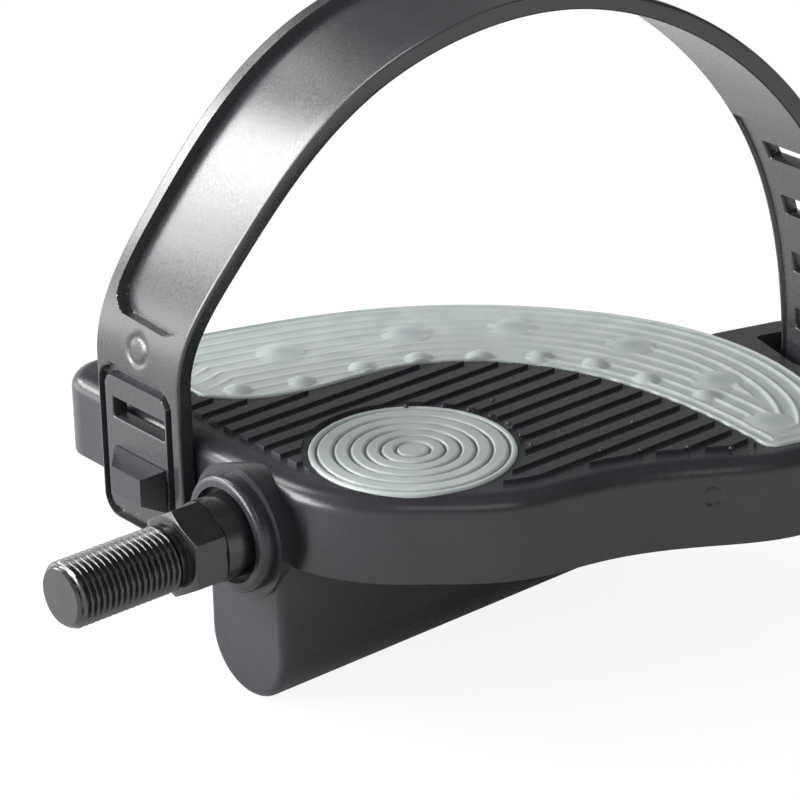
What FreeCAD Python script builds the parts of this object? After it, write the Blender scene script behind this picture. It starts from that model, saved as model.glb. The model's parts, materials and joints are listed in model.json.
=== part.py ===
"""Right-hand self-levelling exercise bike pedal with a moulded foot strap.

Frame: the origin is on the spindle axis at the crank shoulder, +X points outboard along the
spindle, +Y points to the toe and +Z up. All sizes are millimetres.
"""
import FreeCAD
import Part
import Sketcher
import math
import os

Vector = FreeCAD.Vector
UP = Vector(0, 0, 1)
TO_OUTBOARD = Vector(1, 0, 0)
TO_TOE = Vector(0, 1, 0)
ALONG_X = FreeCAD.Rotation(Vector(0, 1, 0), 90)

# Driving dimensions: names that end in x, y or z are places in the pedal's frame
SIZES = {
    # spindle
    "thread_length": 24.3,
    "thread_radius": 6.35,
    "thread_tip_radius": 5.3,
    "thread_tip_length": 1.1,
    "undercut_radius": 5.5,
    "undercut_length": 1.4,
    "shank_land": 0.6,
    "hex_length": 7.3,
    "hex_across_flats": 15.0,
    "hex_chamfer": 0.7,
    "hex_face_radius": 7.4,
    "hex_corner_radius": 8.9,
    "core_radius": 7.0,
    "collar_radius": 8.0,
    "shaft_radius": 4.5,
    "shaft_end_x": 79.8,
    "end_thread_radius": 3.0,
    "end_thread_spare": 1.8,
    "keyway_width": 2.0,
    "keyway_depth": 0.9,
    "keyway_clearance": 0.05,
    # bearings
    "ball_radius": 1.5875,
    "ball_clearance": 0.12,
    "inboard_ball_x": 22.0,
    "inboard_ball_circle": 6.3,
    "outboard_ball_x": 82.0,
    "outboard_ball_circle": 5.4,
    "cup_wall": 0.8,
    "cup_lip": 2.6,
    "cup_back": 4.0,
    "cup_race_depth": 1.7,
    "cone_nose": 0.6,
    "cone_race_length": 2.5,
    "cone_body_length": 3.4,
    "thread_clearance": 0.05,
    "washer_radius": 7.2,
    "washer_thickness": 1.2,
    "nut_across_flats": 10.0,
    "nut_height": 5.0,
    # hub and dust parts
    "hub_face_x": 12.2,
    "lip_radius": 11.4,
    "lip_length": 3.0,
    "lip_rounding": 1.2,
    "boss_radius": 13.0,
    "boss_end_drop": 0.4,
    "inboard_bore_radius": 9.3,
    "outboard_bore_radius": 8.2,
    "middle_bore_radius": 7.0,
    "barrel_wall": 2.4,
    "seal_inset": 1.9,
    "seal_width": 3.2,
    "seal_clearance": 0.1,
    "cap_recess": 12.0,
    "cap_plug_length": 6.0,
    "cap_wall": 1.6,
    # platform moulding
    "deck_top_z": 11.5,
    "deck_thickness": 4.0,
    "skirt_bottom_z": -5.0,
    "skirt_wall": 3.0,
    "deck_edge_rounding": 3.6,
    "web_thickness": 1.7,
    "web_pitch": 14.0,
    "inboard_wall_x": 19.0,
    "toe_corner_y": 62.9,
    "toe_corner_radius": 8.0,
    "wall_heel_end_y": -5.5,
    "heel_corner_radius": 32.0,
    # keel that holds the counterweight
    "keel_start_x": 16.2,
    "keel_end_x": 110.8,
    "keel_half_width": 11.0,
    "keel_bottom_z": -34.7,
    "keel_edge_rounding": 1.6,
    "pocket_start_x": 20.0,
    "pocket_half_width": 8.3,
    "pocket_middle_y": 1.4,
    "pocket_top_z": -16.5,
    "pocket_bottom_z": -29.0,
    "pocket_corner_radius": 4.0,
    "weight_clearance": 0.15,
    "cover_thickness": 2.4,
    "cover_top_z": -11.6,
    "cover_inset": 0.4,
    "screw_radius": 1.25,
    "screw_hole_clearance": 0.1,
    "screw_length": 9.0,
    "screw_head_radius": 2.3,
    "screw_head_height": 1.4,
    "upper_screw_z": -14.0,
    "lower_screw_z": -31.8,
    # grip pads
    "pad_depth": 2.0,
    "pad_proud": 0.5,
    "pad_clearance": 0.15,
    "round_pad_x": 45.5,
    "round_pad_y": -14.3,
    "round_pad_radius": 19.4,
    "toe_pad_rim": 2.5,
    "toe_pad_corner": 3.0,
    # deck bars
    "bar_pitch": 4.8,
    "bar_width": 2.6,
    "bar_height": 0.7,
    "bar_root": 0.5,
    "bar_margin": 6.5,
    "bar_pad_gap": 1.2,
    # strap
    "strap_thickness": 3.4,
    "strap_end_width": 26.0,
    "strap_middle_swell": 5.6,
    "strap_foot_y": 30.0,
    "strap_foot_z": 21.4,
    "strap_tail_stand_off": 1.7,
    "strap_tail_y": -38.4,
    "strap_tail_z": 11.6,
    "strap_tail_length": 25.0,
    "strap_panel_bottom_z": -11.5,
    "strap_channel_depth": 2.2,
    "strap_channel_rim": 3.0,
    "strap_channel_corner": 5.0,
    "strap_slot_height": 4.0,
    "strap_slot_length": 16.3,
    "strap_slot_pitch": 12.4,
    "strap_slot_rounding": 0.5,
    "strap_gap": 0.2,
    # strap catches
    "catch_slot_z": -0.1,
    "catch_tail_drop": 17.4,
    "catch_fit": 0.2,
    "catch_root": 1.0,
    "catch_head_reach": 4.8,
    "catch_head_lap": 2.6,
    "catch_heel_taper": 1.5,
    "catch_toe_taper": 5.4,
    "catch_top_taper": 1.0,
    "catch_under_taper": 2.4,
    "catch_block_inset": 4.0,
    "catch_block_bottom_z": -8.0,
    "ear_bottom_z": 3.0,
    "ear_top_z": 11.2,
    "ear_bar": 5.0,
    "ear_end_room": 5.8,
    "ear_inner_room": 2.4,
    "ear_outer_room": 1.2,
    "ear_root": 16.0,
    "ear_rounding": 4.5,
}

# Strap shape: its whole turn from foot to tail, the share over which it leaves the wall, stations
STRAP_TURN_DEGREES = 16.4
STRAP_LEVEL_SHARE = 0.14
STRAP_STATION_COUNT = 15
STRAP_CHANNEL_SHARES = (0.046, 0.76)
STRAP_TAIL_SLOT_COUNT = 6
STRAP_PANEL_SLOT_COUNT = 2
INBOARD_BALL_COUNT = 11
OUTBOARD_BALL_COUNT = 9
SMALL_STEP = 0.001
EDGE_SAMPLE_COUNT = 5
HEEL_CORNER_DEGREES = 50.0

# Outer edge of the platform between its toe and heel corners, round the outboard side, as (x, y)
RIM_POINTS = [
    (60.0, 55.5),
    (90.0, 42.0),
    (113.5, 19.4),
    (126.4, -8.0),
    (126.6, -33.0),
    (118.6, -53.0),
    (108.0, -63.6),
    (97.0, -63.6),
    (80.0, -54.7),
    (64.0, -47.2),
    (47.0, -42.6),
]
# How many of those points the toe pad follows
TOE_PAD_RIM_POINT_COUNT = 7
TOE_PAD_START_SHARE = 0.0278

# Middle of the strap's outer face between its foot and its tail, as (x, y, z)
STRAP_POINTS = [
    (24.3, 24.2, 49.0),
    (48.4, 7.9, 84.4),
    (78.1, -10.5, 95.5),
    (127.1, -33.0, 55.0),
]

# Inner edge of the toe pad from its heel tip back to its inboard end, as (x, y)
TOE_PAD_INNER_POINTS = [
    (94.6, -58.0),
    (96.7, -37.7),
    (94.2, -13.1),
    (84.9, 5.4),
    (68.9, 16.8),
    (46.8, 20.6),
    (31.5, 32.1),
]


def places_from(given):
    """Places that follow from other sizes: both races meet the balls at 45 degrees,

    and the dust cap and the strap's tail stand off from the platform's outermost point.
    """
    reach = math.sqrt(2) * (given["ball_radius"] + given["ball_clearance"])
    inner_sum = given["inboard_ball_x"] + given["inboard_ball_circle"]
    outer_gap = given["outboard_ball_x"] - given["outboard_ball_circle"]
    inboard_bore = given["inboard_bore_radius"] - given["cup_wall"]
    outboard_bore = given["outboard_bore_radius"] - given["cup_wall"]
    inboard_throat = inboard_bore - given["cup_race_depth"]
    outboard_throat = outboard_bore - given["cup_race_depth"]
    cone_nose_x = given["outboard_ball_x"] + given["cone_nose"]
    platform_end_x = max(x for x, _ in RIM_POINTS)
    tail_reach = given["strap_tail_stand_off"] + given["strap_thickness"]
    return {
        "collar_end_x": inner_sum - reach - given["collar_radius"],
        "shaft_start_x": inner_sum - reach - given["shaft_radius"],
        "inboard_cup_bore": inboard_bore,
        "inboard_cup_throat": inboard_throat,
        "inboard_race_x": inner_sum + reach - inboard_bore,
        "inboard_throat_x": inner_sum + reach - inboard_throat,
        "outboard_cup_bore": outboard_bore,
        "outboard_cup_throat": outboard_throat,
        "outboard_race_x": outer_gap - reach + outboard_bore,
        "outboard_throat_x": outer_gap - reach + outboard_throat,
        "cone_nose_x": cone_nose_x,
        "cone_nose_radius": cone_nose_x - outer_gap - reach,
        "strap_foot_x": given["inboard_wall_x"] - given["strap_gap"] - given["strap_thickness"],
        "strap_tail_x": platform_end_x + tail_reach,
        "platform_end_x": platform_end_x,
        "cap_end_x": platform_end_x - given["cap_recess"],
    }


doc = FreeCAD.newDocument("exercise_bike_pedal")
sheet = doc.addObject("Spreadsheet::Sheet", "Sizes")
for row, (alias, value) in enumerate({**SIZES, **places_from(SIZES)}.items(), start=1):
    sheet.set("A%d" % row, alias)
    sheet.set("B%d" % row, repr(value))
    sheet.setAlias("B%d" % row, alias)
doc.recompute()

# Sums of sizes that several pieces share
CONE_BACK = "cone_nose_x + cone_race_length + cone_body_length"
NUT_SEAT = CONE_BACK + " + washer_thickness"
SPINDLE_END = NUT_SEAT + " + nut_height + end_thread_spare"
INBOARD_CUP_BACK = "inboard_ball_x + cup_back"
OUTBOARD_CUP_BACK = "outboard_ball_x - cup_back"
BARREL_RADIUS = "outboard_bore_radius + barrel_wall"
PAD_FLOOR = "deck_top_z - pad_depth"


# Helpers that tie document objects to the sheet


def amount(text):
    """Value of a size, or of a sum of sizes such as 'hub_face_x + lip_length'."""
    value = 0.0
    sign = 1.0
    for word in text.split():
        if word in ("+", "-"):
            sign = 1.0 if word == "+" else -1.0
        else:
            value += sign * float(getattr(sheet, word))
    return value


def formula(text):
    """The same sum as an expression on the sheet."""
    words = [word if word in ("+", "-") else "Sizes." + word for word in text.split()]
    return " ".join(words)


def bind(item, **sums):
    """Bind properties of a document object to sums of sizes; x, y and z are its place."""
    for name, text in sums.items():
        path = "Placement.Base." + name if name in ("x", "y", "z") else name
        item.setExpression(path, formula(text))


def cylinder_along_x(name, start, end, radius):
    item = doc.addObject("Part::Cylinder", name)
    item.Placement = FreeCAD.Placement(Vector(), ALONG_X)
    bind(item, x=start, Radius=radius)
    item.setExpression("Height", "(%s) - (%s)" % (formula(end), formula(start)))
    return item


def solid_from(name, shape):
    """Document object for a shape that sketches and primitives can't give."""
    item = doc.addObject("Part::Feature", name)
    item.Shape = shape
    item.Placement = FreeCAD.Placement()
    return item


def fused(name, pieces):
    item = doc.addObject("Part::MultiFuse", name)
    item.Shapes = pieces
    item.Refine = True
    return item


def cut(name, base, tool):
    item = doc.addObject("Part::Cut", name)
    item.Base = base
    item.Tool = tool
    item.Refine = True
    return item


def common(name, base, tool):
    item = doc.addObject("Part::Common", name)
    item.Base = base
    item.Tool = tool
    return item


def turned(name, corners):
    """Body turned about the spindle axis from a closed profile of (x, radius) sums.

    No x means at the crank shoulder, and no radius means on the axis.
    """
    body = doc.addObject("PartDesign::Body", name)
    sketch = body.newObject("Sketcher::SketchObject", name + "_profile")
    plane = [item for item in body.Origin.OriginFeatures if item.Role == "XZ_Plane"][0]
    sketch.AttachmentSupport = [(plane, "")]
    sketch.MapMode = "FlatFace"
    spots = [Vector(amount(x or ""), amount(radius or ""), 0) for x, radius in corners]
    count = len(spots)
    for index in range(count):
        sketch.addGeometry(Part.LineSegment(spots[index], spots[(index + 1) % count]))
    for index in range(count):
        sketch.addConstraint(Sketcher.Constraint("Coincident", index, 2, (index + 1) % count, 1))
    for index, (x, radius) in enumerate(corners):
        if x:
            across = Sketcher.Constraint("DistanceX", -1, 1, index, 1, spots[index].x)
            sketch.setExpression("Constraints[%d]" % sketch.addConstraint(across), formula(x))
        else:
            sketch.addConstraint(Sketcher.Constraint("PointOnObject", index, 1, -2))
        if radius:
            upward = Sketcher.Constraint("DistanceY", -1, 1, index, 1, spots[index].y)
            sketch.setExpression("Constraints[%d]" % sketch.addConstraint(upward), formula(radius))
        else:
            sketch.addConstraint(Sketcher.Constraint("PointOnObject", index, 1, -1))
    turn = body.newObject("PartDesign::Revolution", name + "_turn")
    turn.Profile = sketch
    turn.ReferenceAxis = (sketch, ["H_Axis"])
    turn.Angle = 360
    return body


def hex_bar(name, start, length, across_flats):
    """Hexagonal bar along the spindle axis."""
    item = doc.addObject("Part::Prism", name)
    item.Polygon = 6
    item.Placement = FreeCAD.Placement(Vector(), ALONG_X)
    bind(item, Height=length)
    if start:
        bind(item, x=start)
    item.setExpression("Circumradius", "Sizes.%s / sqrt(3)" % across_flats)
    return item


def upright_edges(shape):
    """Edges of a shape that run straight up."""
    found = []
    for edge in shape.Edges:
        if len(edge.Vertexes) == 2:
            run = edge.Vertexes[1].Point - edge.Vertexes[0].Point
            if math.hypot(run.x, run.y) < SMALL_STEP < abs(run.z):
                found.append(edge)
    return found


def edges_at(shape, coordinate, value):
    """Edges of a shape that lie wholly at one value of 'x', 'y' or 'z'."""
    return [edge for edge in shape.Edges
            if all(abs(getattr(point, coordinate) - value) < SMALL_STEP
                   for point in edge.discretize(EDGE_SAMPLE_COUNT))]


def edges_of_length(shape, length):
    """Edges of a shape that have a given length."""
    return [edge for edge in shape.Edges if abs(edge.Length - length) < SMALL_STEP]


def prism(wire, low, high):
    """Upright solid over a flat outline."""
    solid = Part.Face(wire).extrude(UP * (high - low))
    solid.translate(UP * low)
    return solid


# Spindle: crank thread, hex, seal collar, inner race, shaft and end thread


def make_spindle():
    turning = turned("spindle_turning", [
        ("- thread_length", None),
        ("- thread_length", "thread_tip_radius"),
        ("- thread_length + thread_tip_length", "thread_radius"),
        ("- shank_land - undercut_length", "thread_radius"),
        ("- shank_land - undercut_length", "undercut_radius"),
        ("- shank_land", "undercut_radius"),
        ("- shank_land", "thread_radius"),
        (None, "thread_radius"),
        (None, "core_radius"),
        ("hex_length", "core_radius"),
        ("hex_length", "collar_radius"),
        ("collar_end_x", "collar_radius"),
        ("shaft_start_x", "shaft_radius"),
        ("shaft_end_x", "shaft_radius"),
        ("shaft_end_x", "end_thread_radius"),
        (SPINDLE_END, "end_thread_radius"),
        (SPINDLE_END, None),
    ])
    bar = hex_bar("hex_stock", None, "hex_length", "hex_across_flats")
    chamfers = turned("hex_chamfers", [
        (None, None),
        (None, "hex_face_radius"),
        ("hex_chamfer", "hex_corner_radius"),
        ("hex_length - hex_chamfer", "hex_corner_radius"),
        ("hex_length", "hex_face_radius"),
        ("hex_length", None),
    ])
    blank = fused("spindle_blank", [turning, common("hex_collar", bar, chamfers)])
    keyway = doc.addObject("Part::Box", "keyway")
    bind(keyway, x="shaft_end_x", z="end_thread_radius - keyway_depth",
         Width="keyway_width", Height="end_thread_radius")
    keyway.setExpression("Length", "%s - Sizes.shaft_end_x" % formula(SPINDLE_END))
    keyway.setExpression("Placement.Base.y", "-Sizes.keyway_width / 2")
    return cut("spindle", blank, keyway)


# Bearings: pressed cups, loose balls, adjusting cone, keyed washer and lock nut


def make_cups():
    inboard = turned("inboard_cup", [
        ("inboard_ball_x - cup_lip", "inboard_bore_radius"),
        ("inboard_ball_x - cup_lip", "inboard_cup_bore"),
        ("inboard_race_x", "inboard_cup_bore"),
        ("inboard_throat_x", "inboard_cup_throat"),
        (INBOARD_CUP_BACK, "inboard_cup_throat"),
        (INBOARD_CUP_BACK, "inboard_bore_radius"),
    ])
    outboard = turned("outboard_cup", [
        ("outboard_ball_x + cup_lip", "outboard_bore_radius"),
        ("outboard_ball_x + cup_lip", "outboard_cup_bore"),
        ("outboard_race_x", "outboard_cup_bore"),
        ("outboard_throat_x", "outboard_cup_throat"),
        (OUTBOARD_CUP_BACK, "outboard_cup_throat"),
        (OUTBOARD_CUP_BACK, "outboard_bore_radius"),
    ])
    return [inboard, outboard]


def make_balls(name, place, circle, count):
    balls = []
    for index in range(count):
        angle = 360.0 * index / count
        ball = doc.addObject("Part::Sphere", "%s_%d" % (name, index + 1))
        bind(ball, Radius="ball_radius", x=place)
        ball.setExpression("Placement.Base.y", "Sizes.%s * cos(%f deg)" % (circle, angle))
        ball.setExpression("Placement.Base.z", "Sizes.%s * sin(%f deg)" % (circle, angle))
        balls.append(ball)
    ring = doc.addObject("Part::Compound", name)
    ring.Links = balls
    return ring


def make_cone():
    return turned("outboard_cone", [
        ("cone_nose_x", "end_thread_radius + thread_clearance"),
        ("cone_nose_x", "cone_nose_radius"),
        ("cone_nose_x + cone_race_length", "cone_nose_radius + cone_race_length"),
        (CONE_BACK, "cone_nose_radius + cone_race_length"),
        (CONE_BACK, "end_thread_radius + thread_clearance"),
    ])


def make_washer():
    ring = turned("washer_ring", [
        (CONE_BACK, "end_thread_radius + thread_clearance"),
        (CONE_BACK, "washer_radius"),
        (NUT_SEAT, "washer_radius"),
        (NUT_SEAT, "end_thread_radius + thread_clearance"),
    ])
    tab = doc.addObject("Part::Box", "washer_tab")
    bind(tab, x=CONE_BACK, z="end_thread_radius - keyway_depth + keyway_clearance",
         Length="washer_thickness", Width="keyway_width - keyway_clearance - keyway_clearance",
         Height="keyway_depth + keyway_depth")
    tab.setExpression("Placement.Base.y", "Sizes.keyway_clearance - Sizes.keyway_width / 2")
    return fused("keyed_washer", [ring, tab])


def make_nut():
    bar = hex_bar("nut_stock", NUT_SEAT, "nut_height", "nut_across_flats")
    hole = cylinder_along_x("nut_hole", NUT_SEAT, NUT_SEAT + " + nut_height",
                            "end_thread_radius + thread_clearance")
    return cut("lock_nut", bar, hole)


def make_seal():
    start = "hub_face_x + seal_inset"
    return turned("inboard_seal", [
        (start, "collar_radius + seal_clearance"),
        (start, "inboard_bore_radius"),
        (start + " + seal_width", "inboard_bore_radius"),
        (start + " + seal_width", "collar_radius + seal_clearance"),
    ])


def make_dust_cap():
    return turned("dust_cap", [
        ("cap_end_x", None),
        ("cap_end_x", "outboard_bore_radius"),
        ("cap_end_x - cap_plug_length", "outboard_bore_radius"),
        ("cap_end_x - cap_plug_length", "outboard_bore_radius - cap_wall"),
        ("cap_end_x - cap_wall", "outboard_bore_radius - cap_wall"),
        ("cap_end_x - cap_wall", None),
    ])


# Outline of the platform and of the toe pad that follows it


def curve_through(points, first_heading=None, last_heading=None):
    curve = Part.BSplineCurve()
    if first_heading:
        curve.interpolate(Points=points, InitialTangent=first_heading, FinalTangent=last_heading,
                          Scale=False)
    else:
        curve.interpolate(Points=points)
    return curve


def moved_points(points, curve, inward, stretch=0.0):
    """Points moved to the right of their curve, with its ends drawn out along it."""
    headings = [curve.getD1(curve.parameter(point))[1].normalize() for point in points]
    moved = [point + Vector(heading.y, -heading.x, 0) * inward
             for point, heading in zip(points, headings)]
    moved[0] -= headings[0] * stretch
    moved[-1] += headings[-1] * stretch
    return moved


def corner_arc(center, radius, first_degrees, last_degrees):
    """Three points of an arc in plan, counted from outboard towards the toe."""
    middle = (first_degrees + last_degrees) / 2
    angles = [math.radians(degrees) for degrees in (first_degrees, middle, last_degrees)]
    return [center + Vector(math.cos(angle), math.sin(angle), 0) * radius for angle in angles]


def platform_corners(inset):
    """Arcs of the inboard wall's heel corner and toe corner, set in from the edge."""
    wall = amount("inboard_wall_x")
    heel_radius = amount("heel_corner_radius")
    toe_radius = amount("toe_corner_radius")
    heel_center = Vector(wall + heel_radius, amount("wall_heel_end_y"), 0)
    toe_center = Vector(wall + toe_radius, amount("toe_corner_y") - toe_radius, 0)
    heel = corner_arc(heel_center, heel_radius - inset, 180 + HEEL_CORNER_DEGREES, 180)
    toe = corner_arc(toe_center, toe_radius - inset, 180, 90)
    return heel, toe


def platform_rim(inset):
    """Points and curve of the edge from the toe corner round to the heel corner."""
    heel, toe = platform_corners(0)
    turn = math.radians(HEEL_CORNER_DEGREES)
    last_heading = Vector(-math.sin(turn), math.cos(turn), 0)
    points = [toe[-1]] + [Vector(x, y, 0) for x, y in RIM_POINTS] + [heel[0]]
    curve = curve_through(points, TO_OUTBOARD, last_heading)
    if inset:
        points = moved_points(points, curve, inset)
        curve = curve_through(points, TO_OUTBOARD, last_heading)
    return points, curve


def platform_outline(inset):
    """Closed outline of the platform, set in from its edge."""
    _, rim = platform_rim(inset)
    heel, toe = platform_corners(inset)
    wall = Part.LineSegment(heel[-1], toe[0])
    edges = [rim, Part.Arc(*heel), wall, Part.Arc(*toe)]
    return Part.Wire([edge.toShape() for edge in edges])


def toe_pad_prism(grow, low, high):
    """Toe pad's solid between two heights, grown all round by a clearance."""
    points, curve = platform_rim(0)
    start = curve.value(curve.LastParameter * TOE_PAD_START_SHARE)
    outer = moved_points([start] + points[1:TOE_PAD_RIM_POINT_COUNT + 1], curve,
                         amount("toe_pad_rim") - grow, grow)
    inner = [Vector(x, y, 0) for x, y in TOE_PAD_INNER_POINTS]
    inner = moved_points(inner, curve_through(inner), -grow, grow)
    edges = [
        curve_through(outer).toShape(),
        Part.LineSegment(outer[-1], inner[0]).toShape(),
        curve_through(inner).toShape(),
        Part.LineSegment(inner[-1], outer[0]).toShape(),
    ]
    solid = prism(Part.Wire(edges), low, high)
    return solid.makeFillet(amount("toe_pad_corner") + grow, upright_edges(solid))


# Grip pads


def make_pads():
    top = "deck_top_z + pad_proud"
    toe = solid_from("toe_grip_pad", toe_pad_prism(0, amount(PAD_FLOOR), amount(top)))
    round_pad = doc.addObject("Part::Cylinder", "round_grip_pad")
    bind(round_pad, x="round_pad_x", y="round_pad_y", z=PAD_FLOOR,
         Radius="round_pad_radius", Height="pad_depth + pad_proud")
    return [toe, round_pad]


def make_pad_pockets():
    room = amount("pad_clearance")
    toe = solid_from("toe_pad_pocket", toe_pad_prism(room, amount(PAD_FLOOR), amount("toe_corner_y")))
    round_pocket = doc.addObject("Part::Cylinder", "round_pad_pocket")
    bind(round_pocket, x="round_pad_x", y="round_pad_y", z=PAD_FLOOR,
         Radius="round_pad_radius + pad_clearance", Height="round_pad_radius")
    return [toe, round_pocket]


# Strap: an arch that leans, drifts to the heel and turns on its way outboard


def strap_curve():
    """Middle of the strap's outer face, upright at the inboard foot and at the outboard tail."""
    foot = Vector(amount("strap_foot_x"), amount("strap_foot_y"), amount("strap_foot_z"))
    tail = Vector(amount("strap_tail_x"), amount("strap_tail_y"), amount("strap_tail_z"))
    points = [foot] + [Vector(*point) for point in STRAP_POINTS] + [tail]
    return curve_through(points, UP, -UP)


def strap_station(share):
    """Place on the strap's outer face, and the directions along, across and out of it."""
    curve = strap_curve()
    place, along = curve.getD1(curve.LastParameter * share)
    along.normalize()
    turn = math.radians(STRAP_TURN_DEGREES * share)
    across = Vector(math.sin(turn), math.cos(turn), 0)
    square = min(1.0, share / STRAP_LEVEL_SHARE)
    across = (across - along * (square * across.dot(along))).normalize()
    outward = along.cross(across).normalize()
    return place, along, across, outward


def strap_section(share, rim, bottom, top):
    """Rectangle across the strap, set in by a rim, between two heights over its outer face."""
    place, _, across, outward = strap_station(share)
    width = amount("strap_end_width") + amount("strap_middle_swell") * math.sin(math.pi * share)
    side = across * (width / 2 - rim)
    corners = [
        place - side + outward * bottom,
        place + side + outward * bottom,
        place + side + outward * top,
        place - side + outward * top,
    ]
    return Part.makePolygon(corners + corners[:1])


def strap_loft(first_share, last_share, rim, bottom, top):
    step = (last_share - first_share) / (STRAP_STATION_COUNT - 1)
    shares = [first_share + step * index for index in range(STRAP_STATION_COUNT)]
    return Part.makeLoft([strap_section(share, rim, bottom, top) for share in shares], True)


def strap_slot(place, along, across, outward):
    """Adjustment slot through the strap, centred on a place on its outer face."""
    high = amount("strap_slot_height")
    wide = amount("strap_slot_length")
    depth = amount("strap_thickness + strap_gap")
    box = Part.makeBox(high, wide, 2 * depth, Vector(-high / 2, -wide / 2, -depth))
    box = box.makeFillet(amount("strap_slot_rounding"), upright_edges(box))
    box.Placement = FreeCAD.Placement(place, FreeCAD.Rotation(along, across, outward, "XYZ"))
    return box


def strap_share_above_tail(distance):
    """Share of the arch at a distance along it from the tail's top."""
    curve = strap_curve()
    return curve.parameterAtDistance(-distance, curve.LastParameter) / curve.LastParameter


def strap_panel_slots():
    _, along, across, outward = strap_station(0)
    pitch = amount("strap_slot_pitch")
    low = Vector(amount("strap_foot_x"), amount("strap_foot_y"), amount("catch_slot_z"))
    return [strap_slot(low + along * (pitch * index), along, across, outward)
            for index in range(STRAP_PANEL_SLOT_COUNT)]


def strap_tail_slots():
    slots = []
    for index in range(STRAP_TAIL_SLOT_COUNT):
        drop = amount("catch_tail_drop") - amount("strap_slot_pitch") * index
        place, along, across, outward = strap_station(strap_share_above_tail(max(-drop, 0.0)))
        slots.append(strap_slot(place + along * max(drop, 0.0), along, across, outward))
    return slots


def make_strap():
    thick = amount("strap_thickness")
    arch = strap_loft(0, 1, 0, -thick, 0)
    _, along, _, _ = strap_station(1)
    tail = Part.Face(strap_section(1, 0, -thick, 0)).extrude(along * amount("strap_tail_length"))
    panel_drop = amount("strap_foot_z - strap_panel_bottom_z")
    panel = Part.Face(strap_section(0, 0, -thick, 0)).extrude(-UP * panel_drop)
    whole = arch.fuse([tail, panel])
    first_share, last_share = STRAP_CHANNEL_SHARES
    depth = amount("strap_channel_depth")
    channel = strap_loft(first_share, last_share, amount("strap_channel_rim"), -depth, thick)
    channel = channel.makeFillet(amount("strap_channel_corner"), edges_of_length(channel, depth + thick))
    return solid_from("strap", whole.cut([channel] + strap_panel_slots() + strap_tail_slots()))


# Catches that hold the strap, and the ear that its tail hangs through


def strap_catch(place, across, outward):
    """Tapered knob on a stem that fills one slot of the strap, centred on its outer face."""
    fit = amount("catch_fit")
    gap = amount("strap_gap")
    half_long = amount("strap_slot_length") / 2 - fit
    half_high = amount("strap_slot_height") / 2 - fit
    root = amount("strap_thickness + strap_gap + catch_root")
    head_high = half_high + amount("catch_head_lap")
    reach = amount("catch_head_reach")

    def frame(out, heel, toe, low, high):
        corners = [(heel, low), (toe, low), (toe, high), (heel, high)]
        spots = [place + outward * out + across * side + UP * up for side, up in corners]
        return Part.makePolygon(spots + spots[:1])

    stem = Part.makeLoft([frame(out, -half_long, half_long, -half_high, half_high)
                          for out in (-root, gap)], True, True)
    base = frame(gap, -half_long, half_long, -head_high, head_high)
    front = frame(gap + reach,
                  amount("catch_heel_taper") - half_long, half_long - amount("catch_toe_taper"),
                  amount("catch_under_taper") - head_high, head_high - amount("catch_top_taper"))
    return stem.fuse(Part.makeLoft([base, front], True, True))


def make_inboard_catch():
    _, _, across, outward = strap_station(0)
    place = Vector(amount("strap_foot_x"), amount("strap_foot_y"), amount("catch_slot_z"))
    return solid_from("inboard_catch", strap_catch(place, across, outward))


def make_ear():
    """Loop that stands out from the rim round the strap's tail, with a catch below it."""
    place, along, across, outward = strap_station(1)
    room_end = amount("strap_end_width") / 2 + amount("ear_end_room")
    outer_room = amount("ear_outer_room")

    def plan(half_long, near, far, low, high):
        corners = [(-half_long, near), (half_long, near), (half_long, far), (-half_long, far)]
        spots = [place + across * side + outward * out for side, out in corners]
        for spot in spots:
            spot.z = 0
        return prism(Part.makePolygon(spots + spots[:1]), low, high)

    low = amount("ear_bottom_z")
    high = amount("ear_top_z")
    bar = amount("ear_bar")
    loop = plan(room_end + bar, -amount("ear_root"), outer_room + bar, low, high)
    loop = loop.makeFillet(amount("ear_rounding"), upright_edges(loop))
    hole = plan(room_end, -amount("strap_thickness + ear_inner_room"), outer_room, low, high)
    hole = hole.makeFillet(outer_room, upright_edges(hole))
    block_half = amount("strap_slot_length") / 2 + amount("catch_block_inset")
    block = plan(block_half, -amount("ear_root"), -amount("strap_thickness + strap_gap"),
                 amount("catch_block_bottom_z"), low)
    peg = strap_catch(place + along * amount("catch_tail_drop"), across, outward)
    return solid_from("strap_ear", loop.cut(hole).fuse([block, peg]))


# Pedal body: platform, hub and keel in one moulding


def make_platform():
    low = amount("skirt_bottom_z")
    high = amount("deck_top_z")
    slab = prism(platform_outline(0), low, high)
    slab = slab.makeFillet(amount("deck_edge_rounding"), edges_at(slab, "z", high))
    return solid_from("platform", slab)


def make_underside_cells():
    """Hollows below the deck, between moulded webs and clear of the hub."""
    low = amount("skirt_bottom_z")
    high = amount("deck_top_z - deck_thickness")
    hollow = prism(platform_outline(amount("skirt_wall")), low, high)
    span = hollow.BoundBox
    half_hub = amount(BARREL_RADIUS)
    web = amount("web_thickness")
    keep = [Part.makeBox(span.XLength, 2 * half_hub, high - low, Vector(span.XMin, -half_hub, low))]
    place = amount("inboard_wall_x + web_pitch")
    while place < span.XMax:
        corner = Vector(place - web / 2, span.YMin, low)
        keep.append(Part.makeBox(web, span.YLength, high - low, corner))
        place += amount("web_pitch")
    return solid_from("underside_cells", hollow.cut(keep))


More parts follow.
